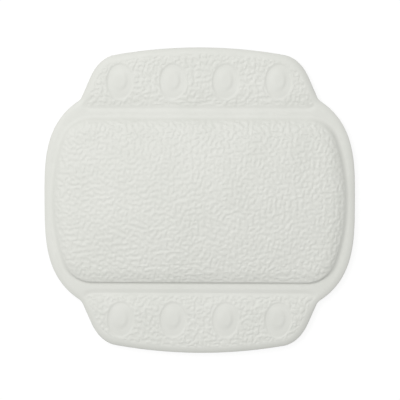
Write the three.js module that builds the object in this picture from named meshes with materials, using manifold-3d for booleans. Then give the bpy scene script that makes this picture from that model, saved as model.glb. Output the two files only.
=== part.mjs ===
// A moulded rubber bath pillow: a foam-filled pad on a flat rim, with a flap above and a
// flap below that fold on thin channels, and four suction cups plugged into each flap's back.
// Millimetres. The pillow lies on its back: +Z is the front that the head rests on, +Y points
// to the upper flap, and the rims of the cups lie in the plane z = 0.

import * as THREE from 'three';
import { mergeVertices } from 'three/addons/utils/BufferGeometryUtils.js';
import Module from 'manifold-3d';

const wasm = await Module();
wasm.setup();

// Driving dimensions of the raised pad
const padWidth = 312;
const padDepth = 176;
const padSideRadius = 200; // each side bows out along an arc of this radius
const padCornerRadius = 33;
const padDraft = 0.4; // the foot of the low wall lies this far outside its top
const padWallHeight = 1.5;
const padRollWidth = 15; // the rounded shoulder, seen from the front
const padRollHeight = 4.4;
const padRollStart = 25; // degrees round its arc at which the shoulder leaves the wall
const padCrown = 7; // how much higher the middle is than the shoulder
const padSkin = 1.8;

// Driving dimensions of the flat rim and the folds
const rimMargin = 9; // from the pad's side to the rim's edge
const rimSquareShare = 3.24; // exponent of the rim's superellipse
const rimRunout = 19.5; // how far past the notch the rim's curve would close
const coverThickness = 1.7;
const backThickness = 2;
const clearance = 0.3; // between pieces that lie against each other
const foldMargin = 3; // flat strip between the pad's foot and the fold
const foldWidth = 5;
const webThickness = 2;

// Driving dimensions of the flaps
const notchReach = 11.5; // from the fold to the notch in the outline
const flapReach = 55.4; // from the notch to the flap's end
const flapSideRun = 22.4; // length of the straight, tapering side
const flapSideTaper = 9.8; // how much the side comes in over that length
const flapShoulder = 36.7; // how much narrower the flap's end is than its notch, each side
const flapEndCrown = 7.9; // how far the end bows out
const panelMargin = 2.5; // flat strip between the fold and the raised panel
const panelBorder = 7; // smooth border outside the panel
const panelSlope = 1.5; // width of the panel's sloping edge
const panelCornerRun = 13; // along the fold
const panelCornerReach = 11; // away from the fold

// Driving dimensions of the suction cups and of what holds them
const cupCount = 4;
const cupSetback = 31; // from the fold to the row of cups
const cupSideMargin = 33.5; // from the last cup's centre to the flap's side
const cupRadius = 18;
const cupLip = 2; // flat ring that seals against the tub
const cupHollow = 6.2;
const cupHeight = 8.6;
const cupBellShare = 2.5; // exponent of the bell's curve
const neckRadius = 3.2;
const neckGap = 1.4; // free neck between the bell and the flap's back
const headRadius = 5;
const headHeight = 1.2;
const headLift = 0.3; // play under the head
const headDraft = 0.4; // the head's underside rises this much towards its edge
const socketSide = 0.6; // play round the head
const socketHeadroom = 0.6; // play over the head
const socketRoof = 0.3; // rubber over the socket at the disc's floor
const nubWall = 4.4;
const nubRise = 0.7;
const discWidth = 28;
const discLength = 36.5;
const discDepth = 0.5;

// How finely round stretches are divided
const sideSteps = 4;
const cornerSteps = 6;
const edgeSteps = 3;
const rollSteps = 4;
const rimSteps = 14;
const rootSteps = 2;
const endSteps = 8;
const discSides = 28;
const holeSides = 18;
const cupSides = 20;
const bellSteps = 5;
const nubSteps = 3;
const crownScaleShares = [0.75, 0.5, 0.25];

// Heights, from the cups' rims upwards
const backPlane = cupHeight + neckGap;
const backTop = backPlane + backThickness;
const coverBottom = backTop + clearance;
const rimTop = coverBottom + coverThickness;
const headBottom = backTop + headLift;
const headTop = headBottom + headHeight;
const socketTop = headTop + socketHeadroom;
const discFloor = socketTop + socketRoof;
const panelTop = discFloor + discDepth;
const foldHeight = (backPlane + rimTop) / 2;
const overrun = coverThickness; // cuts run this far past the surface they start from
const bite = coverThickness / 2; // joined pieces reach this far into each other

// Places along Y, measured from the middle of the pad
const foldInner = padDepth / 2 + foldMargin;
const foldOuter = foldInner + foldWidth;
const notchLine = foldOuter + notchReach;
const flapEnd = notchLine + flapReach;
const panelEdge = foldOuter + panelMargin;
const cupLine = foldOuter + cupSetback;

// The rim's outline is a superellipse
const rimHalfWidth = padWidth / 2 + rimMargin;
const rimHalfDepth = notchLine + rimRunout;

function rimEdge(y) {
  const share = 1 - Math.pow(Math.abs(y) / rimHalfDepth, rimSquareShare);
  return new THREE.Vector2(rimHalfWidth * Math.pow(share, 1 / rimSquareShare), y);
}

function rimPoints(from, to, steps) {
  const points = [];
  for (let i = 0; i <= steps; i += 1) {
    points.push(rimEdge(THREE.MathUtils.lerp(from, to, i / steps)));
  }
  return points;
}

const notch = rimEdge(notchLine);
const cupOuter = notch.x - (flapSideTaper * (cupLine - notchLine)) / flapSideRun - cupSideMargin;
const cupPitch = (2 * cupOuter) / (cupCount - 1);

// Helpers for flat outlines

function closedAcrossX(half) {
  const other = half.filter((p) => p.x > 0).map((p) => new THREE.Vector2(-p.x, p.y));
  return [...half, ...other.reverse()];
}

function crossing(p, u, q, v) {
  const w = q.clone().sub(p);
  return p.clone().addScaledVector(u, w.cross(v) / u.cross(v));
}

function circle(radiusX, radiusY, sides) {
  const points = [];
  for (let i = 0; i < sides; i += 1) {
    const angle = (2 * Math.PI * i) / sides;
    points.push(new THREE.Vector2(radiusX * Math.cos(angle), radiusY * Math.sin(angle)));
  }
  return points;
}

function atHeight(points, z) {
  return points.map((p) => new THREE.Vector3(p.x, p.y, z));
}

// The flap's tapering side runs up from the notch. An inset moves its root in.
const sideRun = new THREE.Vector2(-flapSideTaper, flapSideRun);

function sideRoot(inset) {
  const inwards = new THREE.Vector2(-sideRun.y, sideRun.x).normalize();
  return notch.clone().addScaledVector(inwards, inset);
}

// The flap's free edge on its right side, from the notch to the middle of its end, or that
// edge moved in by an inset
function flapEdge(path, inset) {
  const sideEnd = sideRoot(inset).add(sideRun);
  const endHalf = notch.x - flapShoulder - inset;
  const endStart = new THREE.Vector2(endHalf, flapEnd - inset - flapEndCrown);
  const along = new THREE.Vector2(-endHalf / 2, flapEndCrown);
  const corner = crossing(sideEnd, sideRun, endStart, along);
  path.lineTo(sideEnd.x, sideEnd.y);
  path.quadraticCurveTo(corner.x, corner.y, endStart.x, endStart.y);
  path.quadraticCurveTo(endHalf / 2, flapEnd - inset, 0, flapEnd - inset);
  return path;
}

function flapOutline() {
  const path = new THREE.Path(rimPoints(foldOuter, notchLine, rootSteps));
  return closedAcrossX(flapEdge(path, 0).getPoints(endSteps));
}

// The raised panel's outline, with a rounded corner at each end of the fold
function panelOutline(inset) {
  const low = panelEdge + inset - panelBorder;
  const edge = new THREE.Vector2(0, low);
  const corner = crossing(sideRoot(inset), sideRun, edge, new THREE.Vector2(1, 0));
  const up = sideRun.clone().multiplyScalar(panelCornerReach / flapSideRun).add(corner);
  const path = new THREE.Path();
  path.moveTo(corner.x - panelCornerRun, low);
  path.quadraticCurveTo(corner.x, corner.y, up.x, up.y);
  return closedAcrossX(flapEdge(path, inset).getPoints(endSteps));
}

// The pad's outline, or that outline moved in by an inset: bowed sides, rounded corners that
// they run into, and straight long edges. It is one quarter mirrored three times, and it
// always has the same number of points.
const sideCentre = new THREE.Vector2(padWidth / 2 - padSideRadius, 0);
const cornerRise = padDepth / 2 - padCornerRadius;
const cornerRun = Math.sqrt(Math.pow(padSideRadius - padCornerRadius, 2) - cornerRise * cornerRise);
const cornerCentre = new THREE.Vector2(sideCentre.x + cornerRun, cornerRise);
const cornerStart = Math.atan2(cornerRise, cornerRun);

function arc(centre, radius, from, to, steps) {
  const points = [];
  for (let i = 0; i < steps; i += 1) {
    const angle = THREE.MathUtils.lerp(from, to, i / steps);
    const out = new THREE.Vector2(Math.cos(angle), Math.sin(angle));
    points.push(centre.clone().addScaledVector(out, radius));
  }
  return points;
}

function padOutline(inset) {
  const quarter = [
    ...arc(sideCentre, padSideRadius - inset, 0, cornerStart, sideSteps),
    ...arc(cornerCentre, padCornerRadius - inset, cornerStart, Math.PI / 2, cornerSteps),
  ];
  for (let i = edgeSteps; i >= 0; i -= 1) {
    const x = (cornerCentre.x * i) / edgeSteps;
    quarter.push(new THREE.Vector2(x, padDepth / 2 - inset));
  }
  const upper = closedAcrossX(quarter);
  const lower = upper.filter((p) => p.y > 0).map((p) => new THREE.Vector2(p.x, -p.y));
  return [...upper, ...lower.reverse()];
}

// Closed solids

// A closed skin over rings of equally many points. The first and the last ring are capped by
// fans of triangles from their middles.
function loft(rings) {
  const count = rings[0].length;
  const positions = rings.flat().flatMap((p) => [p.x, p.y, p.z]);
  const index = [];
  for (let r = 0; r + 1 < rings.length; r += 1) {
    for (let i = 0; i < count; i += 1) {
      const a = r * count + i;
      const b = r * count + ((i + 1) % count);
      index.push(a, b, b + count, a, b + count, a + count);
    }
  }
  for (const [ring, up] of [[0, false], [rings.length - 1, true]]) {
    const middle = positions.length / 3;
    const sum = rings[ring].reduce((total, p) => total.add(p), new THREE.Vector3());
    positions.push(...sum.divideScalar(count).toArray());
    for (let i = 0; i < count; i += 1) {
      const a = ring * count + i;
      const b = ring * count + ((i + 1) % count);
      index.push(middle, up ? a : b, up ? b : a);
    }
  }
  const geometry = new THREE.BufferGeometry();
  geometry.setAttribute('position', new THREE.Float32BufferAttribute(positions, 3));
  geometry.setIndex(index);
  return geometry;
}

function slab(points, low, high) {
  return loft([atHeight(points, low), atHeight(points, high)]);
}

function solid(geometry) {
  const bare = geometry.clone();
  bare.deleteAttribute('normal');
  bare.deleteAttribute('uv');
  const merged = mergeVertices(bare);
  const mesh = new wasm.Mesh({
    numProp: 3,
    vertProperties: new Float32Array(merged.attributes.position.array),
    triVerts: new Uint32Array(merged.index.array),
  });
  return new wasm.Manifold(mesh);
}

function geometryOf(body) {
  const mesh = body.getMesh();
  const geometry = new THREE.BufferGeometry();
  geometry.setAttribute('position', new THREE.BufferAttribute(mesh.vertProperties, 3));
  geometry.setIndex(new THREE.BufferAttribute(mesh.triVerts, 1));
  return geometry;
}

// The pad's form, or with a skin the same form that much inside. It stands on a foot at the
// given height, leaves its low wall at an angle, rolls over its shoulder and crowns in the
// middle.
function padForm(foot, skin) {
  const shoulder = rimTop + padWallHeight;
  const start = THREE.MathUtils.degToRad(padRollStart);
  const crownAt = (p) => {
    const across = 1 - Math.pow((2 * p.x) / padWidth, 2);
    const along = 1 - Math.pow((2 * p.y) / padDepth, 2);
    return padCrown * across * along;
  };
  const ringAt = (inset, z) => {
    const heights = padOutline(inset).map((p) => z + crownAt(p) - skin);
    return padOutline(inset + skin).map((p, i) => new THREE.Vector3(p.x, p.y, heights[i]));
  };
  const rings = [atHeight(padOutline(skin - padDraft), foot), ringAt(0, shoulder)];
  for (let i = 1; i <= rollSteps; i += 1) {
    const angle = THREE.MathUtils.lerp(start, Math.PI / 2, i / rollSteps);
    const across = Math.cos(angle) / Math.cos(start);
    const up = (Math.sin(angle) - Math.sin(start)) / (1 - Math.sin(start));
    rings.push(ringAt(padRollWidth * (1 - across), shoulder + padRollHeight * up));
  }
  const top = shoulder + padRollHeight - skin;
  for (const scale of crownScaleShares) {
    const ring = rings[rollSteps + 1].map((p) => {
      const q = new THREE.Vector2(p.x, p.y).multiplyScalar(scale);
      return new THREE.Vector3(q.x, q.y, top + crownAt(q));
    });
    rings.push(ring);
  }
  return loft(rings);
}

function rimOutline() {
  return closedAcrossX(rimPoints(-foldInner, foldInner, rimSteps));
}

function padCover() {
  const rim = solid(slab(rimOutline(), coverBottom, rimTop));
  const pad = solid(padForm(rimTop - bite, 0));
  const pocket = solid(padForm(coverBottom - overrun, padSkin));
  return geometryOf(rim.add(pad).subtract(pocket));
}

function foamCore() {
  return padForm(coverBottom, padSkin + clearance);
}

function backSheet() {
  return slab(rimOutline(), backPlane, backTop);
}

function foldWeb() {
  const outline = closedAcrossX(rimPoints(foldInner + clearance, foldOuter - clearance, 1));
  return slab(outline, foldHeight - webThickness / 2, foldHeight + webThickness / 2);
}

function cupPlaces() {
  const places = [];
  for (let i = 0; i < cupCount; i += 1) {
    places.push(new THREE.Vector2(i * cupPitch - cupOuter, cupLine));
  }
  return places;
}

function upright(points, place, low, high) {
  return solid(slab(points.map((p) => p.clone().add(place)), low, high));
}

// The small dome in the middle of a disc, over the head of its cup
function nub(place) {
  const radius = headRadius + socketSide + nubWall;
  const rings = [atHeight(circle(radius, radius, holeSides), discFloor - bite)];
  for (let i = 0; i <= nubSteps; i += 1) {
    const share = 1 - i / (nubSteps + 1);
    const z = discFloor + nubRise * (1 - share * share);
    rings.push(atHeight(circle(radius * share, radius * share, holeSides), z));
  }
  const dome = loft(rings);
  dome.translate(place.x, place.y, 0);
  return solid(dome);
}

function flapCover() {
  const panel = loft([
    atHeight(panelOutline(panelBorder), rimTop - bite),
    atHeight(panelOutline(panelBorder), rimTop),
    atHeight(panelOutline(panelBorder + panelSlope), panelTop),
  ]);
  let cover = solid(slab(flapOutline(), coverBottom, rimTop)).add(solid(panel));
  const disc = circle(discWidth / 2, discLength / 2, discSides);
  const socket = circle(headRadius + socketSide, headRadius + socketSide, holeSides);
  for (const place of cupPlaces()) {
    cover = cover.subtract(upright(disc, place, discFloor, panelTop + overrun));
    cover = cover.add(nub(place));
    cover = cover.subtract(upright(socket, place, coverBottom - overrun, socketTop));
  }
  return geometryOf(cover);
}

function flapBacking() {
  let backing = solid(slab(flapOutline(), backPlane, backTop));
  const hole = circle(neckRadius + clearance, neckRadius + clearance, holeSides);
  for (const place of cupPlaces()) {
    backing = backing.subtract(upright(hole, place, backPlane - overrun, backTop + overrun));
  }
  return geometryOf(backing);
}

// One cup with its neck and mushroom head, turned round its own axis
function suctionCup() {
  const hollowRadius = cupRadius - cupLip;
  const bell = (radius, height, r) => height * (1 - Math.pow(r / radius, cupBellShare));
  const profile = [];
  for (let i = 0; i <= bellSteps; i += 1) {
    const r = (hollowRadius * i) / bellSteps;
    profile.push(new THREE.Vector2(r, bell(hollowRadius, cupHollow, r)));
  }
  for (let i = bellSteps; i >= 0; i -= 1) {
    const r = neckRadius + ((cupRadius - neckRadius) * i) / bellSteps;
    profile.push(new THREE.Vector2(r, bell(cupRadius, cupHeight, r)));
  }
  profile.push(new THREE.Vector2(neckRadius, headBottom));
  profile.push(new THREE.Vector2(headRadius, headBottom + headDraft));
  profile.push(new THREE.Vector2(headRadius, (headBottom + headDraft + headTop) / 2));
  profile.push(new THREE.Vector2(neckRadius, headTop));
  profile.push(new THREE.Vector2(0, headTop));
  const cup = new THREE.LatheGeometry(profile, cupSides);
  return cup.rotateX(Math.PI / 2);
}

const coverRubber = { color: '#dddfd8', roughness: 0.6, metalness: 0 };
const backRubber = { color: '#d6d8d0', roughness: 0.65, metalness: 0 };
const foam = { color: '#e6e1cf', roughness: 0.95, metalness: 0 };
const cupRubber = { color: '#e2e4e0', roughness: 0.35, metalness: 0 };

function piece(name, geometry, finish) {
  const mesh = new THREE.Mesh(geometry, new THREE.MeshStandardMaterial(finish));
  mesh.name = name;
  return mesh;
}

const pillow = new THREE.Group();
pillow.add(piece('pad_cover', padCover(), coverRubber));
pillow.add(piece('foam_core', foamCore(), foam));
pillow.add(piece('back_sheet', backSheet(), backRubber));

for (const [side, turn] of [['upper', 0], ['lower', Math.PI]]) {
  const flap = new THREE.Group();
  flap.rotation.z = turn;
  flap.add(piece(`${side}_flap_cover`, flapCover(), coverRubber));
  flap.add(piece(`${side}_flap_backing`, flapBacking(), backRubber));
  flap.add(piece(`${side}_fold_web`, foldWeb(), coverRubber));
  pillow.add(flap);
  cupPlaces().forEach((place, i) => {
    const cup = piece(`suction_cup_${side}_${i + 1}`, suctionCup(), cupRubber);
    cup.position.set(place.x, place.y * Math.cos(turn), 0);
    pillow.add(cup);
  });
}

export default pillow;
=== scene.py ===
import math

import bmesh
import bpy
import numpy as np
from mathutils import Matrix, Vector
from mathutils.geometry import delaunay_2d_cdt

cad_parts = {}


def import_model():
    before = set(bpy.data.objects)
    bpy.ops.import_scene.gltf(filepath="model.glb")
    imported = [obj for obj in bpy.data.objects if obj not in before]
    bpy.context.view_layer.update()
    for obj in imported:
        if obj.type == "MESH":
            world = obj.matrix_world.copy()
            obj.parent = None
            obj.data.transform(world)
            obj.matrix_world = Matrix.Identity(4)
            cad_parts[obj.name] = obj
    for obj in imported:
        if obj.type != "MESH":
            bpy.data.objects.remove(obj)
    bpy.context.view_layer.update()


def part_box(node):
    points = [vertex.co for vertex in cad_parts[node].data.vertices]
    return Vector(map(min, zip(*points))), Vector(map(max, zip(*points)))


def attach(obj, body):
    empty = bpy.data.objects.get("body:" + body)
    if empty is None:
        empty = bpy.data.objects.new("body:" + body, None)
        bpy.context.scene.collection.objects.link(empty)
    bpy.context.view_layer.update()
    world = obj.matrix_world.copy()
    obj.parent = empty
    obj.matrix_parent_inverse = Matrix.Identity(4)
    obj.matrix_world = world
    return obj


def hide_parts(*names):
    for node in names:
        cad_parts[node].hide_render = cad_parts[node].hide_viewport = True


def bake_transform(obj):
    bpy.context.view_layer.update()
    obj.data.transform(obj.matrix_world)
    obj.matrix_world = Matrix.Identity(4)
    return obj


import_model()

# A moulded rubber bath pillow in soft studio light. Its front is one skin: a foam-filled pad
# on a flat rim, and a flap above and below, behind thin channels that fold. The skin is three
# pieces, which meet flush at the foot of the pad: one for the pad and one for each flap.
# Metres. +Z is the front, +Y points to the upper flap, and the cups' rims lie in z = 0.

MM = 0.001

# The raised pad
PAD_WIDTH = 312 * MM
PAD_DEPTH = 176 * MM
PAD_SIDE_RADIUS = 200 * MM
PAD_CORNER_RADIUS = 33 * MM
PAD_DRAFT = 0.4 * MM
PAD_WALL = 0.8 * MM
PAD_ROLL_WIDTH = 15 * MM
PAD_ROLL_HEIGHT = 4.4 * MM
PAD_ROLL_START = math.radians(25)
PAD_CROWN = 7 * MM
PAD_SKIN = 1.8 * MM
FOAM_CLEARANCE = 0.3 * MM  # between the skin and the foam
PAD_SMOOTH = 5 * MM  # width round the edge over which the texture fades out
FOOT_START = 1.5 * MM  # depth inside the outline where the fillet round the pad begins
FOOT_WIDTH = 4.6 * MM
FOOT_POWER = 1.8
LOWER_LIFT = 1 * MM  # how much higher the shoulder ends along the lower edge
LOWER_LIFT_WIDTH = 8 * MM
LOWER_START = 1.5 * MM  # depth inside the outline where the steep lower edge begins
LOWER_WIDTH = 2 * MM
LOWER_RISE = 0.3 * MM  # the fillet outside the steep lower edge
LOWER_REACH = 1.8 * MM

# The rim, a superellipse, and its rolled edge
RIM_POWER = 3.24
RIM_HALF_DEPTH = 127 * MM
RIM_ROLL = 6 * MM
RIM_ROLL_POWER = 1.6
COVER_THICKNESS = 1.7 * MM
COVER_LIP = 0.15 * MM  # the rolled edge ends this far over the parting line
SKIN_GAP = 0.02 * MM  # parting line between the front skin and the back
SEAM_LINE = 89.9 * MM  # the skins meet here, between the pad's foot and the fold

# The flaps
NOTCH_REACH = 11.5 * MM
NOTCH_ROUND = 3 * MM
SIDE_RUN = 22.4 * MM
SIDE_TAPER = 9.8 * MM
FLAP_SHOULDER = 36.7 * MM
FLAP_END_CROWN = 7.9 * MM
PANEL_MARGIN = 2.5 * MM
PANEL_BORDER = 5 * MM
PANEL_RISE = 0.3 * MM  # step up from the channel to the panel
PANEL_CORNER_RUN = 13 * MM
PANEL_CORNER_REACH = 11 * MM
PANEL_SHOULDER = 9 * MM  # width of the panel's convex slope out of the groove
GROOVE_DEPTH = 0.62 * MM  # the groove at the panel's foot along the fold
GROOVE_SLOPE = 4 * MM  # width of the groove's side towards the fold
FLAP_RISE = 1.2 * MM  # how far the flap rises from its free edge inwards
FLAP_RISE_WIDTH = 9 * MM
FLAP_RISE_RUN = 16 * MM  # length along the sides over which that begins, from near the notch
TEXTURE_BORDER = 3 * MM  # width over which the texture begins inside the panel's foot
TEXTURE_END = 7.5 * MM  # depth inside the free edge where it fades out, to where that rolls
TEXTURE_START = 1.8 * MM  # width of the smooth strip inside the panel's edge along the fold
TEXTURE_FADE = 2.6 * MM  # width over which the texture begins beside that strip
FOLD_MARGIN = 2 * MM  # the rows across a fold end this far inside the rim

# The discs over the cups, and the sockets for the cups' heads. The nubs' sizes are those of a
# round disc, and the disc's length stretches them.
DISC_HALF_WIDTH = 15 * MM
DISC_HALF_LENGTH = 20 * MM
DISC_DEPTH = 0.6 * MM
DISC_SLOPE = 2 * MM
NUB_FOOT = np.array([-1.3, 1.6]) * MM  # middle of the nub's foot, from the disc's middle
NUB_LEAN = np.array([3.5, -1.5]) * MM  # from there to the middle of its top
NUB_RADIUS = 10.25 * MM
NUB_TOP_SHARE = 0.4  # the nub is level out to this share of its reach
NUB_RISE = 0.7 * MM
SOCKET_RADIUS = 5.6 * MM
SOCKET_TOP = 14.1 * MM
NECK_HOLE = 3.5 * MM

# The suction cups
CUP_LIP = 2 * MM
CUP_LIP_HEIGHT = 0.25 * MM
CUP_HOLLOW = 6.2 * MM
CUP_HEIGHT = 8.6 * MM
CUP_POWER = 2.5
NECK_RADIUS = 3.2 * MM
HEAD_RADIUS = 5 * MM
HEAD_HEIGHT = 1.1 * MM
HEAD_DRAFT = 0.4 * MM

# The moulded texture: low winding ridges, over slow waves in the soft sheet
RELIEF_LENGTH = 6.3 * MM
RELIEF_RISE = 0.27 * MM
RELIEF_SPREAD = 0.32
RELIEF_BITE = 1.5  # the higher, the steeper and flatter-topped the ridges
RELIEF_WAVES = 110
RELIEF_SEED = 21
SWELL_LENGTH = 55 * MM
SWELL_RISE = 0.12 * MM
SWELL_SPREAD = 0.3
SWELL_WAVES = 24
SWELL_SEED = 5
SWELL_FADE = 8 * MM  # width inside a panel's foot over which the waves begin

# How fine the meshes are
PAD_COLUMNS = 372
PAD_ROWS = 188
SHOULDER_STEPS = 34
WALL_STEPS = 4
FLANGE_SHARES = (0.05, 0.1, 0.16, 0.24, 0.36, 0.52, 0.7, 0.85, 1)  # rings from the foot outwards
EDGE_STEPS = 8
POCKET_STEPS = 6
POCKET_SHARES = (0.75, 0.5, 0.25)  # rings on the pocket's roof, from its edge inwards
FOAM_COLUMNS = 96
FOAM_ROWS = 48
FOAM_STEPS = 10
FOAM_SHARES = (0.85, 0.7, 0.55, 0.4, 0.25, 0.1)
FLAP_COLUMNS = 340
FLAP_ROWS = 96
RIM_STEPS = 400
RIM_END_STEPS = 60  # on the short stretch of the rim between a seam and a notch
NOTCH_STEPS = 8
CORNER_STEPS = 40
FOLD_LINES = 9
FOLD_POINTS = 61
BACK_SIDE_ROWS = 120
BACK_COLUMNS = 200
BACK_ROWS = 70
BACK_EDGE_STEPS = 5
SOCKET_SIDES = 40
HOLE_SIDES = 32
CUP_SIDES = 64
CUP_INNER_STEPS = 14
CUP_OUTER_STEPS = 18
HEAD_STEPS = 8
SHARP_ANGLE = math.radians(42)
POINTS_AT_ONCE = 4000  # keeps the arrays for distances small

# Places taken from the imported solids
PAD_LOW, PAD_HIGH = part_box("pad_cover")
BACK_LOW, BACK_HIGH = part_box("back_sheet")
FLAP_LOW, FLAP_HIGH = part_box("upper_flap_cover")
FOAM_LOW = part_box("foam_core")[0]
RIM_HALF_WIDTH = PAD_HIGH.x
RIM_TOP = PAD_LOW.z + COVER_THICKNESS
SKIN_BOTTOM = BACK_HIGH.z + SKIN_GAP
BEND_START = PAD_HIGH.y
BEND_END = FLAP_LOW.y
NOTCH_LINE = FLAP_LOW.y + NOTCH_REACH
PANEL_EDGE = FLAP_LOW.y + PANEL_MARGIN
FLAP_END = FLAP_HIGH.y
SIDES = ("upper", "lower")
CUPS = (1, 2, 3, 4)


# Plain helpers

def smooth(value, low, high):
    """0 below low, 1 above high, and a smooth step between."""
    t = np.clip((value - low) / (high - low), 0, 1)
    return t * t * (3 - 2 * t)


def convex(depth, width):
    """0 at the edge and 1 past the width, steep at first and levelling out."""
    share = np.clip(depth / width, 0, 1)
    return 1 - (1 - share) ** 2


def bezier(a, b, c, steps):
    """Points of a quadratic curve from a to c that heads for b."""
    t = np.linspace(0, 1, steps + 1)[:, None]
    return (1 - t) ** 2 * a + 2 * t * (1 - t) * b + t * t * c


def circle(radius, place, sides):
    """Points round a circle, anticlockwise."""
    angle = np.linspace(0, 2 * np.pi, sides, endpoint=False)
    return place + radius * np.stack([np.cos(angle), np.sin(angle)], axis=1)


def chain(*stretches):
    """Joins stretches of points that start where the one before ends."""
    return np.concatenate([stretches[0]] + [s[1:] for s in stretches[1:]])


def loop_of(low, right, high, left):
    """The four edges of a patch as one loop, anticlockwise from its lower left corner."""
    return np.concatenate([low[:-1], right[:-1], high[:0:-1], left[:0:-1]])


def resample(points, steps):
    """The same line in equally long steps."""
    run = np.concatenate([[0], np.cumsum(np.linalg.norm(np.diff(points, axis=0), axis=1))])
    at = np.linspace(0, run[-1], steps + 1)
    return np.stack([np.interp(at, run, points[:, i]) for i in range(2)], axis=1)


def crossing(p, u, q, v):
    """Where the line from p along u meets the line from q along v."""
    w = q - p
    return p + u * (w[0] * v[1] - w[1] * v[0]) / (u[0] * v[1] - u[1] * v[0])


def mirrored(points):
    """The same points on the other side of the middle, in the opposite order."""
    return points[::-1] * np.array([-1, 1])


def coons(low, high, left, right):
    """A grid of points between four edges. low and high run along X, left and right along Y."""
    u = np.linspace(0, 1, len(low))[None, :, None]
    v = np.linspace(0, 1, len(left))[:, None, None]
    between = (1 - v) * low[None] + v * high[None] + (1 - u) * left[:, None] + u * right[:, None]
    corners = (1 - v) * ((1 - u) * low[0] + u * low[-1]) + v * ((1 - u) * high[0] + u * high[-1])
    return between - corners


def raised(points, height):
    """Flat points with a height each, or one height for all."""
    return np.concatenate([points, np.broadcast_to(height, points.shape[:-1])[..., None]], axis=-1)


def depth_inside(points, outline):
    """How far each point lies inside a closed outline; less than zero outside it."""
    start = outline
    run = np.roll(outline, -1, axis=0) - start
    rise = np.where(run[:, 1] == 0, 1, run[:, 1])
    depth = np.empty(len(points))
    for i in range(0, len(points), POINTS_AT_ONCE):
        p = points[i:i + POINTS_AT_ONCE, None]
        share = np.clip(((p - start) * run).sum(-1) / (run ** 2).sum(-1), 0, 1)
        gap = np.linalg.norm(p - start - share[..., None] * run, axis=-1).min(1)
        spans = (start[:, 1] > p[..., 1]) != (start[:, 1] + run[:, 1] > p[..., 1])
        reach = start[:, 0] + run[:, 0] * (p[..., 1] - start[:, 1]) / rise
        inside = (spans & (p[..., 0] < reach)).sum(1) % 2 == 1
        depth[i:i + POINTS_AT_ONCE] = np.where(inside, gap, -gap)
    return depth


def front_middle(node):
    """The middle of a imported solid, seen from the front."""
    low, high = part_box(node)
    return np.array([(low.x + high.x) / 2, (low.y + high.y) / 2])


CUP_PLACES = [front_middle(f"suction_cup_upper_{i}") for i in CUPS]


# The relief

def waves(points, length, spread, count, seed):
    """A random field of about unit size, made of many flat waves of nearly one length."""
    draw = np.random.default_rng(seed)
    angles = draw.uniform(0, 2 * np.pi, count)
    lengths = length * np.exp(spread * draw.standard_normal(count))
    phases = draw.uniform(0, 2 * np.pi, count)
    total = np.zeros(points.shape[:-1])
    for angle, wave, phase in zip(angles, lengths, phases):
        along = points[..., 0] * np.cos(angle) + points[..., 1] * np.sin(angle)
        total += np.cos(2 * np.pi * along / wave + phase)
    return total * np.sqrt(2 / count)


def relief(points):
    """Height of the moulded texture over the plain surface, for points of the flattened skin."""
    field = waves(points, RELIEF_LENGTH, RELIEF_SPREAD, RELIEF_WAVES, RELIEF_SEED)
    return RELIEF_RISE * np.tanh(RELIEF_BITE * field)


def swell(points):
    """Height of the slow waves in the sheet, for the same points."""
    return SWELL_RISE * waves(points, SWELL_LENGTH, SWELL_SPREAD, SWELL_WAVES, SWELL_SEED)


# Meshes

def placed(name, data):
    """A new object in the scene."""
    made = bpy.data.objects.new(name, data)
    bpy.context.scene.collection.objects.link(made)
    return made


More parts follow.
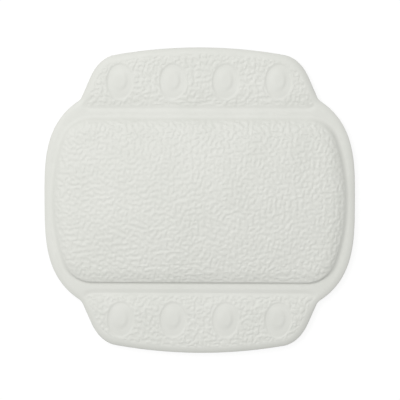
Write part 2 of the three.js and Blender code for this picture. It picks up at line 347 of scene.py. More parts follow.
class Shell:
    """Points and faces of one closed mesh, gathered patch by patch."""

    INSIDE_EDGES = 1  # asks delaunay_2d_cdt for the triangles inside the edges
    SAME_POINT = 1e-9

    def __init__(self):
        self.points = []
        self.lifts = []
        self.faces = []
        self.count = 0

    def add(self, points, lift=0.0):
        """Adds points and returns their numbers. lift is how far each moves along its normal."""
        shape = points.shape[:-1]
        self.points.append(points.reshape(-1, 3))
        self.lifts.append(np.broadcast_to(lift, shape).reshape(-1))
        numbers = np.arange(self.count, self.count + self.points[-1].shape[0]).reshape(shape)
        self.count += numbers.size
        return numbers

    def join(self, rows, closed=False):
        """Fills quads between rows of point numbers of one length."""
        rows = np.stack(rows)
        if closed:
            rows = np.concatenate([rows, rows[:, :1]], axis=1)
        corners = [rows[:-1, :-1], rows[:-1, 1:], rows[1:, 1:], rows[1:, :-1]]
        self.faces += np.stack(corners, axis=-1).reshape(-1, 4).tolist()

    def fan(self, ring, middle):
        """Fills triangles from a ring to one point over its middle."""
        hub = self.add(np.array([middle], float))[0]
        self.faces += [[a, b, hub] for a, b in zip(ring.tolist(), np.roll(ring, -1).tolist())]

    def fill(self, outer, holes=(), rows=()):
        """Fills the level region in a loop and outside the holes, with edges along the rows."""
        loops = [outer, *holes]
        lines = [*loops, *rows]
        numbers = np.concatenate(lines)
        owner = np.repeat([*range(len(loops)), *[0] * len(rows)], [len(line) for line in lines])
        edges = []
        first = 0
        for i, line in enumerate(lines):
            at = np.arange(first, first + len(line))
            ends = np.roll(at, -1) if i < len(loops) else at[1:]
            edges += list(zip(at.tolist(), ends.tolist()))
            first += len(line)
        flat = [Vector(p[:2]) for p in np.concatenate(self.points)[numbers]]
        found = delaunay_2d_cdt(flat, edges, [], self.INSIDE_EDGES, self.SAME_POINT)
        sources = [ids[0] for ids in found[3]]
        for face in found[2]:
            corners = [sources[i] for i in face]
            owners = {owner[i] for i in corners}
            # A face with all its corners on one hole lies in that hole
            if len(owners) > 1 or owners == {0}:
                self.faces.append([int(numbers[i]) for i in corners])

    def wall_down(self, loop, height):
        """Walls straight down from a loop to a level. Returns the loop there."""
        points = np.concatenate(self.points)[loop]
        points[:, 2] = height
        numbers = self.add(points)
        self.join([loop, numbers], closed=True)
        return numbers

    def turn_round(self, turn):
        """Turns the upper flap's points to the lower flap's place where turn is -1."""
        self.points = [p * [turn, turn, 1] for p in self.points]

    def piece(self, name, finish, slot):
        """The finished object, with its faces outwards and its sharp edges marked."""
        mesh = bpy.data.meshes.new(name)
        points = np.concatenate(self.points)
        lifts = np.concatenate(self.lifts)
        mesh.from_pydata(points.tolist(), [], self.faces)
        work = bmesh.new()
        work.from_mesh(mesh)
        bmesh.ops.recalc_face_normals(work, faces=work.faces)
        work.to_mesh(mesh)
        work.free()
        normals = np.empty(points.size)
        mesh.vertex_normals.foreach_get("vector", normals)
        points = points + normals.reshape(-1, 3) * lifts[:, None]
        mesh.vertices.foreach_set("co", points.ravel())
        mesh.update()
        mesh.shade_smooth()
        mesh.set_sharp_from_angle(angle=SHARP_ANGLE)
        mesh.materials.append(finish)
        made = placed(name, mesh)
        return made


# The pad's outline

SIDE_CENTRE = PAD_WIDTH / 2 - PAD_SIDE_RADIUS
CORNER_RISE = PAD_DEPTH / 2 - PAD_CORNER_RADIUS
CORNER_RUN = math.sqrt((PAD_SIDE_RADIUS - PAD_CORNER_RADIUS) ** 2 - CORNER_RISE ** 2)
CORNER_START = math.atan2(CORNER_RISE, CORNER_RUN)
CORNER_CENTRE = SIDE_CENTRE + CORNER_RUN
EVEN_INSET = 6 * MM  # steps along the outline are equal this far inside it
SIDE_LENGTH = (PAD_SIDE_RADIUS - EVEN_INSET) * CORNER_START
CORNER_LENGTH = (PAD_CORNER_RADIUS - EVEN_INSET) * (math.pi / 2 - CORNER_START)


def quarter(run):
    """Points and outward normals of the outline's first quarter, by length from its side."""
    on_side = run < SIDE_LENGTH
    side_angle = run / (PAD_SIDE_RADIUS - EVEN_INSET)
    turned = np.clip(run - SIDE_LENGTH, 0, CORNER_LENGTH) / (PAD_CORNER_RADIUS - EVEN_INSET)
    angle = np.where(on_side, side_angle, CORNER_START + turned)
    past = np.clip(run - SIDE_LENGTH - CORNER_LENGTH, 0, None)
    centre_x = np.where(on_side, SIDE_CENTRE, CORNER_CENTRE - past)
    centre = np.stack([centre_x, np.where(on_side, 0, CORNER_RISE)], axis=1)
    normal = np.stack([np.cos(angle), np.sin(angle)], axis=1)
    radius = np.where(on_side, PAD_SIDE_RADIUS, PAD_CORNER_RADIUS)
    return centre + radius[:, None] * normal, normal


class PadOutline:
    """The outline as four edges that meet in the middles of its round corners."""

    def __init__(self, columns, rows):
        side = SIDE_LENGTH + CORNER_LENGTH / 2
        top = CORNER_LENGTH / 2 + CORNER_CENTRE
        up = np.linspace(-side, side, rows + 1)
        across = np.linspace(-top, top, columns + 1)
        self.right = self.signed(quarter(np.abs(up)), np.ones_like(up), np.sign(up))
        self.top = self.signed(quarter(side + top - np.abs(across)), np.sign(across), 1)

    @staticmethod
    def signed(edge, sign_x, sign_y):
        """The first quarter's points and normals, moved to the quarters of the signs."""
        signs = np.stack(np.broadcast_arrays(sign_x, sign_y), axis=1)
        return tuple(part * signs for part in edge)

    def edges(self, inset):
        """The low, right, high and left edge, moved in by an inset."""
        high = self.top[0] - inset * self.top[1]
        right = self.right[0] - inset * self.right[1]
        return high * [1, -1], right, high, right * [-1, 1]

    def ring(self, inset):
        """All points once round, anticlockwise from the lower left corner."""
        return loop_of(*self.edges(inset))


PAD_RING = PadOutline(columns=120, rows=60).ring(0)  # for measuring depths


# The pad's form

def crown(points):
    """How far the pad's top bulges, most in the middle and not at all along its edges."""
    across = 1 - (2 * points[..., 0] / PAD_WIDTH) ** 2
    along = 1 - (2 * points[..., 1] / PAD_DEPTH) ** 2
    return PAD_CROWN * across * along


def shoulder_rise(angle):
    """Height of the round shoulder over the wall, by the angle of its normal from level."""
    foot = math.sin(PAD_ROLL_START)
    return PAD_ROLL_HEIGHT * (np.sin(angle) - foot) / (1 - foot)


def shoulder_height(depth):
    """The same height by depth inside the outline."""
    across = 1 - np.clip(depth / PAD_ROLL_WIDTH, 0, 1)
    return shoulder_rise(np.arccos(across * math.cos(PAD_ROLL_START)))


def roll_profile(steps):
    """Insets and heights down the pad's round shoulder, from its top to its wall."""
    angle = np.linspace(math.pi / 2, PAD_ROLL_START, steps + 1)
    across = np.cos(angle) / math.cos(PAD_ROLL_START)
    return PAD_ROLL_WIDTH * (1 - across), RIM_TOP + PAD_WALL + shoulder_rise(angle)


def lower_share(y):
    """1 along the pad's lower edge, fading out round its lower corners."""
    return smooth(-y, PAD_DEPTH / 2 - PAD_CORNER_RADIUS / 2, PAD_DEPTH / 2)


def soft_edge(depth, full, dome):
    """Height of the pad's edge where it runs out into the rim in a fillet."""
    start = dome + PAD_WALL + shoulder_height(FOOT_START)
    share = np.clip(1 - (FOOT_START - depth) / FOOT_WIDTH, 0, 1)
    return np.where(depth < FOOT_START, start * share ** FOOT_POWER, full)


def crisp_edge(depth, full):
    """Height of the pad's edge where it drops steeply to a small fillet."""
    lift = LOWER_LIFT * np.clip(1 - (depth - LOWER_START) / LOWER_LIFT_WIDTH, 0, 1) ** 2
    past = LOWER_START - depth
    wall = np.clip(past / LOWER_WIDTH, 0, 1)
    fillet = LOWER_RISE * np.clip(1 - (past - LOWER_WIDTH) / LOWER_REACH, 0, 1) ** 2
    return (full + lift) * (1 - wall) + fillet * wall


def pad_height(points, depth):
    """Height of the front over the rim, by place and by depth inside the pad's outline."""
    dome = np.clip(crown(points), 0, None)
    full = PAD_WALL + shoulder_height(depth) + dome
    soft = soft_edge(depth, full, dome)
    return soft + lower_share(points[..., 1]) * (crisp_edge(depth, full) - soft)


def height_outside(points):
    """The same for points outside the outline."""
    return pad_height(points, depth_inside(points, PAD_RING))


def pad_ring(outline, inset, height, skin):
    """A ring of the pad's form, a skin's thickness inside."""
    heights = height + crown(outline.ring(inset)) - skin
    return raised(outline.ring(inset + skin), heights)


# The rim

def rim_half_width(y):
    """Half the rim's width at a place along Y."""
    share = 1 - (np.abs(y) / RIM_HALF_DEPTH) ** RIM_POWER
    return RIM_HALF_WIDTH * share ** (1 / RIM_POWER)


def rim_normal(y):
    """Outward normal of the superellipse on its right side."""
    x = rim_half_width(y)
    nx = (x / RIM_HALF_WIDTH) ** (RIM_POWER - 1) / RIM_HALF_WIDTH
    ny = np.sign(y) * (np.abs(y) / RIM_HALF_DEPTH) ** (RIM_POWER - 1) / RIM_HALF_DEPTH
    normal = np.stack([nx, ny], axis=-1)
    return normal / np.linalg.norm(normal, axis=-1, keepdims=True)


def rim_points(low, high, steps):
    """Points up the rim's right side, from one place along Y to another."""
    y = np.linspace(low, high, steps + 1)
    return np.stack([rim_half_width(y), y], axis=1)


def rim_side(rows, inset=0.0):
    """The rim's right side from seam to seam, or the same moved in by an inset."""
    levels = resample(rim_points(-SEAM_LINE, SEAM_LINE, RIM_STEPS), rows)[:, 1]
    end = SEAM_LINE + 2 * RIM_ROLL
    beyond = rim_points(-end, end, 2 * RIM_STEPS)
    moved = beyond - inset * rim_normal(beyond[:, 1])
    return np.stack([np.interp(levels, moved[:, 1], moved[:, 0]), levels], axis=1)


def edge_roll(steps):
    """Insets and drops over a rolled edge, from its flat side outwards."""
    angle = np.linspace(0, math.pi / 2, steps + 1)[1:]
    across = np.sin(angle) ** (2 / RIM_ROLL_POWER)
    up = np.clip(np.cos(angle), 0, 1) ** (2 / RIM_ROLL_POWER)
    depth = RIM_TOP - SKIN_BOTTOM - COVER_LIP
    return RIM_ROLL * (1 - across), depth * (1 - up)


# The flaps' outlines

NOTCH = np.array([rim_half_width(NOTCH_LINE), NOTCH_LINE])
SIDE = np.array([-SIDE_TAPER, SIDE_RUN])
SIDE_WAY = SIDE / np.linalg.norm(SIDE)


def side_root(inset):
    """Where the flap's straight side starts, moved in by an inset."""
    return NOTCH + inset * np.array([-SIDE_WAY[1], SIDE_WAY[0]])


def flap_corner(inset):
    """The four points of the flap's corner and end: side end, corner, end start, end crown."""
    side_end = side_root(inset) + SIDE
    end_half = NOTCH[0] - FLAP_SHOULDER - inset
    end_start = np.array([end_half, FLAP_END - inset - FLAP_END_CROWN])
    corner = crossing(side_end, SIDE, end_start, np.array([-end_half / 2, FLAP_END_CROWN]))
    return side_end, corner, end_start, np.array([end_half / 2, FLAP_END - inset])


def flap_end_half(inset):
    """The corner and the right half of the end."""
    side_end, corner, end_start, crest = flap_corner(inset)
    middle = crest * [0, 1]
    turn = bezier(side_end, corner, end_start, CORNER_STEPS)
    return turn, bezier(end_start, crest, middle, CORNER_STEPS)


def above(points, level):
    """The part of a rising line past a level in Y."""
    first = max(int(np.argmax(points[:, 1] > level)), 1)
    low, high = points[first - 1], points[first]
    share = (level - low[1]) / (high[1] - low[1])
    return np.concatenate([[low + share * (high - low)], points[first:]])


def free_edge(columns, rows, inset=0.0):
    """The flap's outline from seam to seam, or the same moved in by an inset."""
    rim = rim_points(SEAM_LINE, NOTCH_LINE - NOTCH_ROUND, RIM_END_STEPS)
    bend = bezier(rim[-1], NOTCH, NOTCH + NOTCH_ROUND * SIDE_WAY, NOTCH_STEPS)
    corner, end = flap_end_half(0)
    half = len(corner) // 2
    side = chain(rim, bend, np.stack([bend[-1], corner[0]]), corner[:half + 1])
    outline = chain(side, corner[half:], end)
    along = np.gradient(outline, axis=0)
    along[0] = [-rim_normal(SEAM_LINE)[1], rim_normal(SEAM_LINE)[0]]
    along[-1] = [-1, 0]
    along /= np.linalg.norm(along, axis=1, keepdims=True)
    moved = outline - inset * np.stack([along[:, 1], -along[:, 0]], axis=1)
    right = resample(above(moved[:len(side)], SEAM_LINE), rows)
    top = resample(moved[len(side) - 1:], columns // 2)
    return chain(right, top, mirrored(top), mirrored(right))


def panel_outline():
    """The raised panel's foot, closed, with a rounded corner at each end of the fold."""
    corner = crossing(side_root(PANEL_BORDER), SIDE, np.array([0, PANEL_EDGE]), np.array([1, 0]))
    start = corner - [PANEL_CORNER_RUN, 0]
    low = bezier(start, corner, corner + PANEL_CORNER_REACH * SIDE_WAY, CORNER_STEPS)
    turn, end = flap_end_half(PANEL_BORDER)
    half = chain(low, np.stack([low[-1], turn[0]]), turn, end)
    return np.concatenate([half, mirrored(half)[1:]])


FLAP_RING = free_edge(columns=200, rows=100)  # for measuring depths, as is the next
PANEL_RING = panel_outline()


# The pad's skin and its foam

def pad_texture(flat):
    """Height of all relief on the pad, for points of the flattened skin."""
    return relief(flat) + swell(flat)


def pad_top(shell, outline):
    """The crowned top as a grid inside the shoulder. Returns the loop round it."""
    low, right, high, left = outline.edges(PAD_ROLL_WIDTH)
    grid = coons(low, high, left, right)
    height = RIM_TOP + PAD_WALL + PAD_ROLL_HEIGHT + crown(grid)
    numbers = shell.add(raised(grid, height), pad_texture(grid))
    shell.join(list(numbers))
    return loop_of(numbers[0], numbers[:, -1], numbers[-1], numbers[:, 0])


def pad_shoulder(shell, outline, loop):
    """The round shoulder and the low wall down to the pad's foot."""
    flat = outline.ring(PAD_ROLL_WIDTH)
    outwards = outline.ring(0) - outline.ring(1)  # normals of length 1
    rows = [loop]
    run = 0.0
    last = np.array([PAD_ROLL_WIDTH, RIM_TOP + PAD_WALL + PAD_ROLL_HEIGHT])
    insets, heights = roll_profile(SHOULDER_STEPS)
    for inset, height in zip(insets[1:], heights[1:]):
        run += np.hypot(inset - last[0], height - last[1])
        last = np.array([inset, height])
        ring = outline.ring(inset)
        made = raised(ring, RIM_TOP + pad_height(ring, inset))
        lift = smooth(inset, 0, PAD_SMOOTH) * pad_texture(flat + run * outwards)
        rows.append(shell.add(made, lift))
    for inset in -PAD_DRAFT * np.linspace(0, 1, WALL_STEPS + 1)[1:]:
        ring = outline.ring(inset)
        rows.append(shell.add(raised(ring, RIM_TOP + pad_height(ring, inset))))
    shell.join(rows, closed=True)
    return rows[-1]


def pad_flange(shell, outline, foot):
    """The flat rim round the pad, out to where its edge starts to roll."""
    right = rim_side(PAD_ROWS, RIM_ROLL)
    high = np.linspace(right[-1] * [-1, 1], right[-1], PAD_COLUMNS + 1)
    outer = loop_of(high * [1, -1], right, high, right * [-1, 1])
    inner = outline.ring(-PAD_DRAFT)
    loops = [foot]
    for share in FLANGE_SHARES:
        flat = inner + share * (outer - inner)
        loops.append(shell.add(raised(flat, RIM_TOP + height_outside(flat))))
    shell.join(loops, closed=True)
    return loops[-1]


def pad_edges(shell, loop):
    """The rolled edges on both sides. Returns the loop round the whole front."""
    turn = PAD_COLUMNS + PAD_ROWS
    low = loop[:PAD_COLUMNS + 1]
    right = loop[PAD_COLUMNS:turn + 1]
    high = loop[turn:turn + PAD_COLUMNS + 1][::-1]
    left = np.append(loop[turn + PAD_COLUMNS:], loop[0])[::-1]
    strips = {1: [right], -1: [left]}
    for inset, drop in zip(*edge_roll(EDGE_STEPS)):
        for sign, strip in strips.items():
            flat = rim_side(PAD_ROWS, inset) * [sign, 1]
            strip.append(shell.add(raised(flat, RIM_TOP + height_outside(flat) - drop)))
    for strip in strips.values():
        shell.join(strip)
    right, left = strips[1], strips[-1]
    low_seam = [s[0] for s in left[:0:-1]] + list(low) + [s[0] for s in right[1:-1]]
    high_seam = [s[-1] for s in right[-2:0:-1]] + list(high[::-1]) + [s[-1] for s in left[1:-1]]
    return np.array(low_seam + list(right[-1]) + high_seam + list(left[-1][:0:-1]))


def inner_form(shell, outline, skin, bottom, steps, shares):
    """The pad's form a skin's thickness inside, open below. Returns the loop round its foot."""
    insets, heights = roll_profile(steps)
    rows = [shell.add(raised(outline.ring(-PAD_DRAFT + skin), bottom))]
    for inset, height in zip(insets[::-1], heights[::-1]):
        rows.append(shell.add(pad_ring(outline, inset, height, skin)))
    top = heights[0] - skin
    rim = outline.ring(PAD_ROLL_WIDTH + skin)
    for share in shares:
        flat = rim * share
        rows.append(shell.add(raised(flat, top + crown(flat))))
    shell.join(rows, closed=True)
    shell.fan(rows[-1], [0, 0, top + PAD_CROWN])
    return rows[0]


def pad_skin(finish):
    """The pad with the rim round it, and the pocket for the foam below."""
    outline = PadOutline(PAD_COLUMNS, PAD_ROWS)
    shell = Shell()
    foot = pad_shoulder(shell, outline, pad_top(shell, outline))
    edge = pad_edges(shell, pad_flange(shell, outline, foot))
    base = shell.wall_down(edge, SKIN_BOTTOM)
    pocket = inner_form(shell, outline, PAD_SKIN, SKIN_BOTTOM, POCKET_STEPS, POCKET_SHARES)
    shell.fill(base, [pocket])
    return shell.piece("pad_skin", finish, "cover_rubber")


def foam_filling(finish):
    """The foam block, a little smaller than the pocket in the skin."""
    outline = PadOutline(FOAM_COLUMNS, FOAM_ROWS)
    shell = Shell()
    skin = PAD_SKIN + FOAM_CLEARANCE
    shell.fill(inner_form(shell, outline, skin, FOAM_LOW.z, FOAM_STEPS, FOAM_SHARES))
    return shell.piece("foam_filling", finish, "foam")


# The flaps' form

def disc_reach(points, place):
    """Distance outwards from a disc's edge, less than zero inside it."""
    x, y = np.moveaxis(points - place, -1, 0)
    share = np.hypot(x / DISC_HALF_WIDTH, y / DISC_HALF_LENGTH)
    return (share - 1) * DISC_HALF_WIDTH


def nub_share(points, place, turn):
    """0 in the middle of a nub's top and 1 at its foot, which is off-centre."""
    stretch = np.array([1, DISC_HALF_LENGTH / DISC_HALF_WIDTH])
    way = turn * (points - place) / stretch - NUB_FOOT - NUB_LEAN
    room = NUB_RADIUS ** 2 - (NUB_LEAN ** 2).sum()
    along = way @ NUB_LEAN
    return (along + np.sqrt(along ** 2 + room * (way ** 2).sum(-1))) / room


def flap_rise(points, inset):
    """Height the flap gains from its free edge inwards."""
    start = NOTCH_LINE - FLAP_RISE_RUN / 3
    along = smooth(points[:, 1], start, start + FLAP_RISE_RUN)
    return FLAP_RISE * along * convex(inset, FLAP_RISE_WIDTH)


def flap_height(points, depth, turn):
    """Height of the flap's panel over the rim, by place and by depth inside its foot."""
    near_fold = 1 - smooth(points[:, 1], PANEL_EDGE, PANEL_EDGE + PANEL_CORNER_REACH)
    groove = np.clip(1 + depth / GROOVE_SLOPE, 0, 1) * (1 - convex(depth, PANEL_SHOULDER))
    height = PANEL_RISE * smooth(depth, RIM_ROLL - PANEL_BORDER, PANEL_SHOULDER)
    height -= GROOVE_DEPTH * near_fold * groove
    for place in CUP_PLACES:
        height -= DISC_DEPTH * (1 - smooth(disc_reach(points, place), -DISC_SLOPE, 0))
        height += NUB_RISE * (1 - smooth(nub_share(points, place, turn), NUB_TOP_SHARE, 1))
    return height


def flap_texture_share(points, depth, inset):
    """1 where the panel is textured, 0 on its discs, border and channel."""
    start = PANEL_EDGE + TEXTURE_START
    share = smooth(depth, 0, TEXTURE_BORDER) * smooth(inset, RIM_ROLL, TEXTURE_END)
    share *= smooth(points[:, 1], start, start + TEXTURE_FADE)
    for place in CUP_PLACES:
        share *= smooth(disc_reach(points, place), -DISC_SLOPE / 4, DISC_SLOPE / 2)
    return share


# The flaps' skins

def flap_front(shell, turn):
    """The front as a grid inside the rolled edge. Returns the numbers of its points."""
    columns, rows = FLAP_COLUMNS, FLAP_ROWS
    inner = free_edge(columns, rows, RIM_ROLL)
    right, left = inner[:rows + 1], inner[rows + columns:][::-1]
    high = inner[rows:rows + columns + 1][::-1]
    grid = coons(np.linspace(left[0], right[0], columns + 1), high, left, right)
    flat = grid.reshape(-1, 2)
    depth = depth_inside(flat, PANEL_RING)
    inset = depth_inside(flat, FLAP_RING)
    height = RIM_TOP + flap_height(flat, depth, turn) + flap_rise(flat, inset)
    near_pad = flat[:, 1] < SEAM_LINE + FOOT_WIDTH
    height[near_pad] += height_outside(flat[near_pad] * turn)
    lift = flap_texture_share(flat, depth, inset) * relief(flat * turn)
    lift += swell(flat * turn) * smooth(depth, 0, SWELL_FADE)
    shape = grid.shape[:-1]
    numbers = shell.add(raised(grid, height.reshape(shape)), lift.reshape(shape))
    shell.join(list(numbers))
    return numbers


def flap_edge(shell, front):
    """The rolled free edge. Returns the loop round the flap's whole front."""
    strip = [np.concatenate([front[:, -1], front[-1, -2::-1], front[-2::-1, 0]])]
    for inset, drop in zip(*edge_roll(EDGE_STEPS)):
        ring = free_edge(FLAP_COLUMNS, FLAP_ROWS, inset)
        strip.append(shell.add(raised(ring, RIM_TOP - drop + flap_rise(ring, inset))))
    shell.join(strip)
    seam = [s[-1] for s in strip[:0:-1]] + list(front[0]) + [s[0] for s in strip[1:-1]]
    return np.array(seam + list(strip[-1][:-1]))


def socket(shell, place):
    """The hollow for a cup's head. Returns the loop round its mouth."""
    ring = circle(SOCKET_RADIUS, place, SOCKET_SIDES)
    mouth = shell.add(raised(ring, SKIN_BOTTOM))
    roof = shell.add(raised(ring, SOCKET_TOP))
    shell.join([mouth, roof], closed=True)
    shell.fan(roof, [*place, SOCKET_TOP])
    return mouth


def fold_rows(shell, height):
    """Rows of points across the fold, so that a level face bends there."""
    rows = []
    for y in np.linspace(BEND_START, BEND_END, FOLD_LINES):
        reach = rim_half_width(y) - FOLD_MARGIN
        x = np.linspace(-reach, reach, FOLD_POINTS)
        rows.append(shell.add(raised(np.stack([x, np.full_like(x, y)], axis=1), height)))
    return rows


def flap_skin(side, turn, finish):
    """A flap's front, from the seam at the pad's foot to its free edge."""
    shell = Shell()
    edge = flap_edge(shell, flap_front(shell, turn))
    sockets = [socket(shell, place) for place in CUP_PLACES]
    base = shell.wall_down(edge, SKIN_BOTTOM)
    shell.fill(base, sockets, fold_rows(shell, SKIN_BOTTOM))
    shell.turn_round(turn)
    return shell.piece(f"{side}_flap_skin", finish, "cover_rubber")


# The back

def back_profile():
    """Insets and heights round the back sheet's edge, from its top to its underside."""
    thickness = BACK_HIGH.z - BACK_LOW.z
    bevel = thickness / 12
    angle = np.linspace(0, math.pi / 2, BACK_EDGE_STEPS + 1)
    round_inset = thickness / 2 * (1 - np.cos(angle))
    round_height = BACK_LOW.z + thickness / 2 * (1 - np.sin(angle))
    inset = np.concatenate([[bevel, 0], round_inset])
    height = np.concatenate([[BACK_HIGH.z, BACK_HIGH.z - bevel], round_height])
    return inset, height


def back_skin(finish):
    """The middle of the back, between the seams."""
    shell = Shell()
    rows = []
    for inset, height in zip(*back_profile()):
        right = rim_side(BACK_SIDE_ROWS, inset)
        rows.append(shell.add(raised(np.concatenate([right, right[::-1] * [-1, 1]]), height)))
    shell.join(rows, closed=True)
    shell.fill(rows[0])
    shell.fill(rows[-1])
    return shell.piece("back_skin", finish, "back_rubber")


def flap_back(side, turn, finish):
    """A flap's back, with a hole for the neck of each cup."""
    shell = Shell()
    rows = []
    for inset, height in zip(*back_profile()):
        rows.append(shell.add(raised(free_edge(BACK_COLUMNS, BACK_ROWS, inset), height)))
    shell.join(rows, closed=True)
    holes = []
    for place in CUP_PLACES:
        ring = circle(NECK_HOLE, place, HOLE_SIDES)
        top = shell.add(raised(ring, BACK_HIGH.z))
        bottom = shell.add(raised(ring, BACK_LOW.z))
        shell.join([top, bottom], closed=True)
        holes.append((top, bottom))
    shell.fill(rows[0], [top for top, _ in holes], fold_rows(shell, BACK_HIGH.z))
    shell.fill(rows[-1], [bottom for _, bottom in holes], fold_rows(shell, BACK_LOW.z))
    shell.turn_round(turn)
    return shell.piece(f"{side}_flap_back", finish, "back_rubber")


# The suction cups

def cup_profile(head_bottom, radius):
    """Radii and heights from the hollow's top, round the lip and up to the mushroom head."""
    hollow_radius = radius - CUP_LIP
    inner = np.linspace(0, hollow_radius, CUP_INNER_STEPS + 1)[1:]
    outer = np.linspace(radius, NECK_RADIUS, CUP_OUTER_STEPS + 1)
    bell_in = CUP_HOLLOW * (1 - (inner / hollow_radius) ** CUP_POWER)
    bell_out = CUP_HEIGHT * (1 - (outer / radius) ** CUP_POWER)
    bell_out = np.maximum(bell_out, CUP_LIP_HEIGHT)
    head_top = head_bottom + HEAD_HEIGHT
    angle = np.linspace(-math.pi / 2, math.pi / 2, HEAD_STEPS + 1)
    half = (HEAD_HEIGHT - HEAD_DRAFT) / 2
    cap_r = HEAD_RADIUS - half + half * np.cos(angle)
    cap_z = head_bottom + HEAD_DRAFT + half + half * np.sin(angle)
    radii = np.concatenate([inner, outer, [NECK_RADIUS], cap_r, [NECK_RADIUS]])
    heights = np.concatenate([bell_in, bell_out, [head_bottom], cap_z, [head_top]])
    return radii, heights


def suction_cup(name, node, finish):
    """A cup with its neck and its mushroom head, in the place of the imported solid."""
    low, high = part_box(node)
    place = front_middle(node)
    shell = Shell()
    radii, heights = cup_profile(high.z - HEAD_HEIGHT, (high.x - low.x) / 2)
    rows = [shell.add(raised(circle(r, place, CUP_SIDES), z)) for r, z in zip(radii, heights)]
    shell.join(rows, closed=True)
    shell.fan(rows[0], [*place, CUP_HOLLOW])
    shell.fan(rows[-1], [*place, heights[-1]])
    return shell.piece(name, finish, "cup_rubber")


# Materials

CLOUD_SIZE = 38 * MM
SHEEN_SIZE = 9 * MM
SHEEN_BELOW = 0.05  # how far the roughness strays below and above its value
SHEEN_ABOVE = 0.07
GRAIN_SIZE = 0.7 * MM
PORE_SIZE = 1.6 * MM
NOISE_LOW = 0.3  # most of a noise's values lie between these
NOISE_HIGH = 0.7


class Graph:
    """The nodes of a material or of the world."""

    def __init__(self, owner):
        owner.use_nodes = True
        self.nodes = owner.node_tree.nodes
        self.links = owner.node_tree.links

    def node(self, kind, values=()):
        """A new node, with values for its inputs by name."""
        made = self.nodes.new(kind)
        for name, value in dict(values).items():
            made.inputs[name].default_value = value
        return made

    def link(self, source, target):
        """Leads an output into an input."""
        self.links.new(source, target)

    def mix(self, share, first, second):
        """A shader that goes from the first to the second as the share goes from 0 to 1."""
        made = self.node("ShaderNodeMixShader")
        self.link(share, made.inputs["Fac"])
        self.link(first.outputs[0], made.inputs[1])
        self.link(second.outputs[0], made.inputs[2])
        return made


class Finish(Graph):
    """A node material with one Principled shader."""

    def __init__(self, name, roughness):
        self.material = bpy.data.materials.new(name)
        super().__init__(self.material)
        self.shader = self.nodes["Principled BSDF"]
        self.shader.inputs["Roughness"].default_value = roughness
        self.place = self.node("ShaderNodeTexCoord").outputs["Object"]

    def noise(self, size, detail):
        """Noise whose features are about this size in metres."""
        values = {"Scale": 1 / size, "Detail": detail, "Roughness": 0.5}
        made = self.node("ShaderNodeTexNoise", values)
        self.link(self.place, made.inputs["Vector"])
        return made.outputs["Fac"]

    def ramp(self, source, low, high, first, second):
        """Two colours that blend as the source goes from low to high."""
        made = self.node("ShaderNodeValToRGB")
        made.color_ramp.elements[0].position = low
        made.color_ramp.elements[1].position = high
        made.color_ramp.elements[0].color = (*first, 1)
        made.color_ramp.elements[1].color = (*second, 1)
        self.link(source, made.inputs["Fac"])
        return made.outputs["Color"]

    def bump(self, source, distance, strength):
        """A normal from the source's height."""
        made = self.node("ShaderNodeBump", {"Distance": distance, "Strength": strength})
        self.link(source, made.inputs["Height"])
        return made.outputs["Normal"]

    def spread(self, source, low, high):
        """The source's middle range as a value from low to high."""
        values = {"From Min": NOISE_LOW, "From Max": NOISE_HIGH, "To Min": low, "To Max": high}
        made = self.node("ShaderNodeMapRange", values)
        self.link(source, made.inputs["Value"])
        return made.outputs["Result"]


def rubber(name, dark, light, roughness, grain):
    """Matt moulded rubber: faint cloudy tone, uneven sheen and a fine skin grain."""
    finish = Finish(name, roughness)
    clouds = finish.noise(CLOUD_SIZE, detail=4)
    tone = finish.ramp(clouds, low=0.35, high=0.65, first=dark, second=light)
    finish.link(tone, finish.shader.inputs["Base Color"])
    patches = finish.noise(SHEEN_SIZE, detail=3)
    sheen = finish.spread(patches, roughness - SHEEN_BELOW, roughness + SHEEN_ABOVE)
    finish.link(sheen, finish.shader.inputs["Roughness"])
    fine = finish.bump(finish.noise(GRAIN_SIZE, detail=3), distance=grain, strength=0.5)
    finish.link(fine, finish.shader.inputs["Normal"])
    return finish


def cover_rubber():
    """The front's warm off-white."""
    dark = (0.735, 0.744, 0.697)
    light = (0.755, 0.762, 0.717)
    return rubber("cover_rubber", dark, light, roughness=0.55, grain=0.06 * MM).material


def back_rubber():
    """The backs, a little darker, rougher and coarser."""
    dark = (0.665, 0.672, 0.625)
    light = (0.7, 0.706, 0.66)
    return rubber("back_rubber", dark, light, roughness=0.62, grain=0.09 * MM).material


def cup_rubber():
    """The cups, smoother, and with some light going into them."""
    dark = (0.74, 0.75, 0.73)
    light = (0.77, 0.78, 0.76)
    finish = rubber("cup_rubber", dark, light, roughness=0.32, grain=0.01 * MM)
    finish.shader.inputs["Subsurface Weight"].default_value = 0.15
    finish.shader.inputs["Subsurface Radius"].default_value = (1, 1, 0.9)
    finish.shader.inputs["Subsurface Scale"].default_value = 1.5 * MM
    return finish.material


def foam():
    """Cream foam with open pores, and painted shade darkening each pore's pit."""
    finish = Finish("foam", roughness=0.95)
    pores = finish.node("ShaderNodeTexVoronoi", {"Scale": 1 / PORE_SIZE})
    finish.link(finish.place, pores.inputs["Vector"])
    # dark is painted shade: the colour darkens towards each pore's middle, where the bump below
    # hollows a pit
    dark = (0.55, 0.5, 0.38)
    light = (0.79, 0.75, 0.62)
    tone = finish.ramp(pores.outputs["Distance"], low=0.1, high=0.6, first=dark, second=light)
    finish.link(tone, finish.shader.inputs["Base Color"])
    pits = finish.bump(pores.outputs["Distance"], distance=0.5 * MM, strength=0.8)
    finish.link(pits, finish.shader.inputs["Normal"])
    return finish.material


# Putting the object together

def join_flap(piece):
    """Bakes the sheet's placement into its points."""
    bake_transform(piece)


def build_pad(cover, back):
    """The pillow's middle: its skin, its foam and its back."""
    skin = pad_skin(cover)
    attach(skin, "pillow")
    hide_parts("pad_cover")
    filling = foam_filling(foam())
    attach(filling, "pillow")
    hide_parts("foam_core")
    sheet = back_skin(back)
    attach(sheet, "pillow")
    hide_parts("back_sheet")


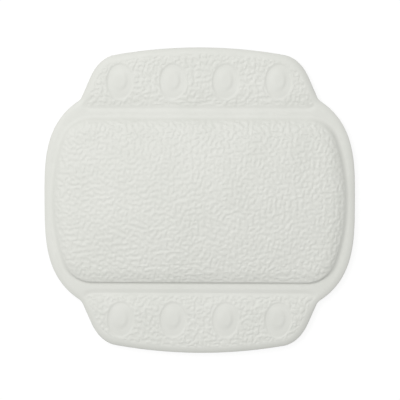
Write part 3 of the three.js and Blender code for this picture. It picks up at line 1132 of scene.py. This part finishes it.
def build_flap(side, turn, cover, back, cup):
    """A flap's front and back, each with its fold, and the four cups."""
    front = flap_skin(side, turn, cover)
    join_flap(front)
    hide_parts(f"{side}_flap_cover", f"{side}_fold_web")
    rear = flap_back(side, turn, back)
    join_flap(rear)
    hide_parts(f"{side}_flap_backing")
    for i in CUPS:
        node = f"suction_cup_{side}_{i}"
        made = suction_cup(f"rubber_cup_{side}_{i}", node, cup)
        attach(made, f"cup_{side}_{i}")
        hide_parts(node)


def build():
    """All pieces of the pillow."""
    cover, back, cup = cover_rubber(), back_rubber(), cup_rubber()
    build_pad(cover, back)
    for side, turn in zip(SIDES, (1, -1)):
        build_flap(side, turn, cover, back, cup)


# The stage

CAMERA_DISTANCE = 2.75
CAMERA_LEAN_X = math.radians(2)
CAMERA_LEAN_Y = math.radians(5)
CAMERA_FAR = 100
IMAGE_SIDE = 400
MM_PER_PIXEL = 1.0613
AIM = Vector((0.0008, 0.0013, 0.016))
LIGHT = 1.015  # on a level surface, where 1 shows its colour as written
KEY_SHARE = 0.62
KEY_DISTANCE = 2.5
KEY_WAY = Vector((-0.25, 0.29, 0.924)).normalized()
KEY_SIZE = 1.6
FLOOR_REACH = 4.0
FLOOR_TONE = 0.8  # the floor's colour for light that it throws back on the pillow
FLOOR_SHADE = 0.16  # the part of its brightness to the camera that a shadow can take away
FLOOR_GLOW = 0.88  # the part that stays


def grey(value):
    """A colour without a tint."""
    return (value, value, value, 1)


def look_at(thing, place, target):
    """Puts a camera or lamp at a place, facing a target, with +Y as near to up as it goes."""
    back = (place - target).normalized()
    across = Vector((0, 1, 0)).cross(back).normalized()
    up = back.cross(across)
    turn = Matrix((across, up, back)).transposed().to_4x4()
    thing.matrix_world = Matrix.Translation(place) @ turn


def camera():
    """The photo's view: from the front, a little from above and from the right."""
    data = bpy.data.cameras.new("camera")
    data.lens = data.sensor_width * CAMERA_DISTANCE / (IMAGE_SIDE * MM_PER_PIXEL * MM)
    data.clip_end = CAMERA_FAR
    made = placed("camera", data)
    way = Vector((math.tan(CAMERA_LEAN_X), math.tan(CAMERA_LEAN_Y), 1)).normalized()
    look_at(made, AIM + CAMERA_DISTANCE * way, AIM)
    bpy.context.scene.camera = made


def key_lamp():
    """A large soft lamp from the upper left, near enough to fall off across the pillow."""
    data = bpy.data.lights.new("key", "AREA")
    data.size = KEY_SIZE
    lit = LIGHT * KEY_SHARE * math.pi
    data.energy = lit * math.pi * KEY_DISTANCE ** 2 / KEY_WAY.z
    look_at(placed("key", data), KEY_DISTANCE * KEY_WAY, Vector((0, 0, 0)))


def world():
    """An even white surround, shown to the camera as plain white."""
    made = bpy.data.worlds.new("surround")
    graph = Graph(made)
    light = graph.nodes["Background"]
    light.inputs["Strength"].default_value = LIGHT * (1 - KEY_SHARE)
    light.inputs["Color"].default_value = grey(1)
    shown = graph.node("ShaderNodeBackground", {"Color": grey(1)})
    path = graph.node("ShaderNodeLightPath")
    mixed = graph.mix(path.outputs["Is Camera Ray"], light, shown)
    graph.link(mixed.outputs[0], graph.nodes["World Output"].inputs["Surface"])
    bpy.context.scene.world = made


def floor_material():
    """White to the camera with a faint shadow, plain pale to other light, open from below."""
    made = bpy.data.materials.new("floor")
    graph = Graph(made)
    graph.nodes.clear()
    plain = graph.node("ShaderNodeBsdfDiffuse", {"Color": grey(FLOOR_TONE)})
    shade = graph.node("ShaderNodeBsdfDiffuse", {"Color": grey(FLOOR_SHADE)})
    glow = graph.node("ShaderNodeEmission", {"Strength": FLOOR_GLOW})
    white = graph.node("ShaderNodeAddShader")
    graph.link(shade.outputs[0], white.inputs[0])
    graph.link(glow.outputs[0], white.inputs[1])
    path = graph.node("ShaderNodeLightPath")
    seen = graph.node("ShaderNodeMath")
    seen.operation = "MAXIMUM"
    graph.link(path.outputs["Is Camera Ray"], seen.inputs[0])
    graph.link(path.outputs["Is Glossy Ray"], seen.inputs[1])
    above_floor = graph.mix(seen.outputs[0], plain, white)
    below_floor = graph.node("ShaderNodeBsdfTransparent")
    facing = graph.node("ShaderNodeNewGeometry")
    whole = graph.mix(facing.outputs["Backfacing"], above_floor, below_floor)
    out = graph.node("ShaderNodeOutputMaterial")
    graph.link(whole.outputs[0], out.inputs["Surface"])
    return made


def floor():
    """A large level square under the cups."""
    low, high = -FLOOR_REACH, FLOOR_REACH
    corners = [(low, low, 0), (high, low, 0), (high, high, 0), (low, high, 0)]
    mesh = bpy.data.meshes.new("floor")
    mesh.from_pydata(corners, [], [(0, 1, 2, 3)])
    mesh.materials.append(floor_material())
    made = placed("floor", mesh)


build()
camera()
key_lamp()
world()
floor()
bpy.context.scene.view_settings.view_transform = "Standard"
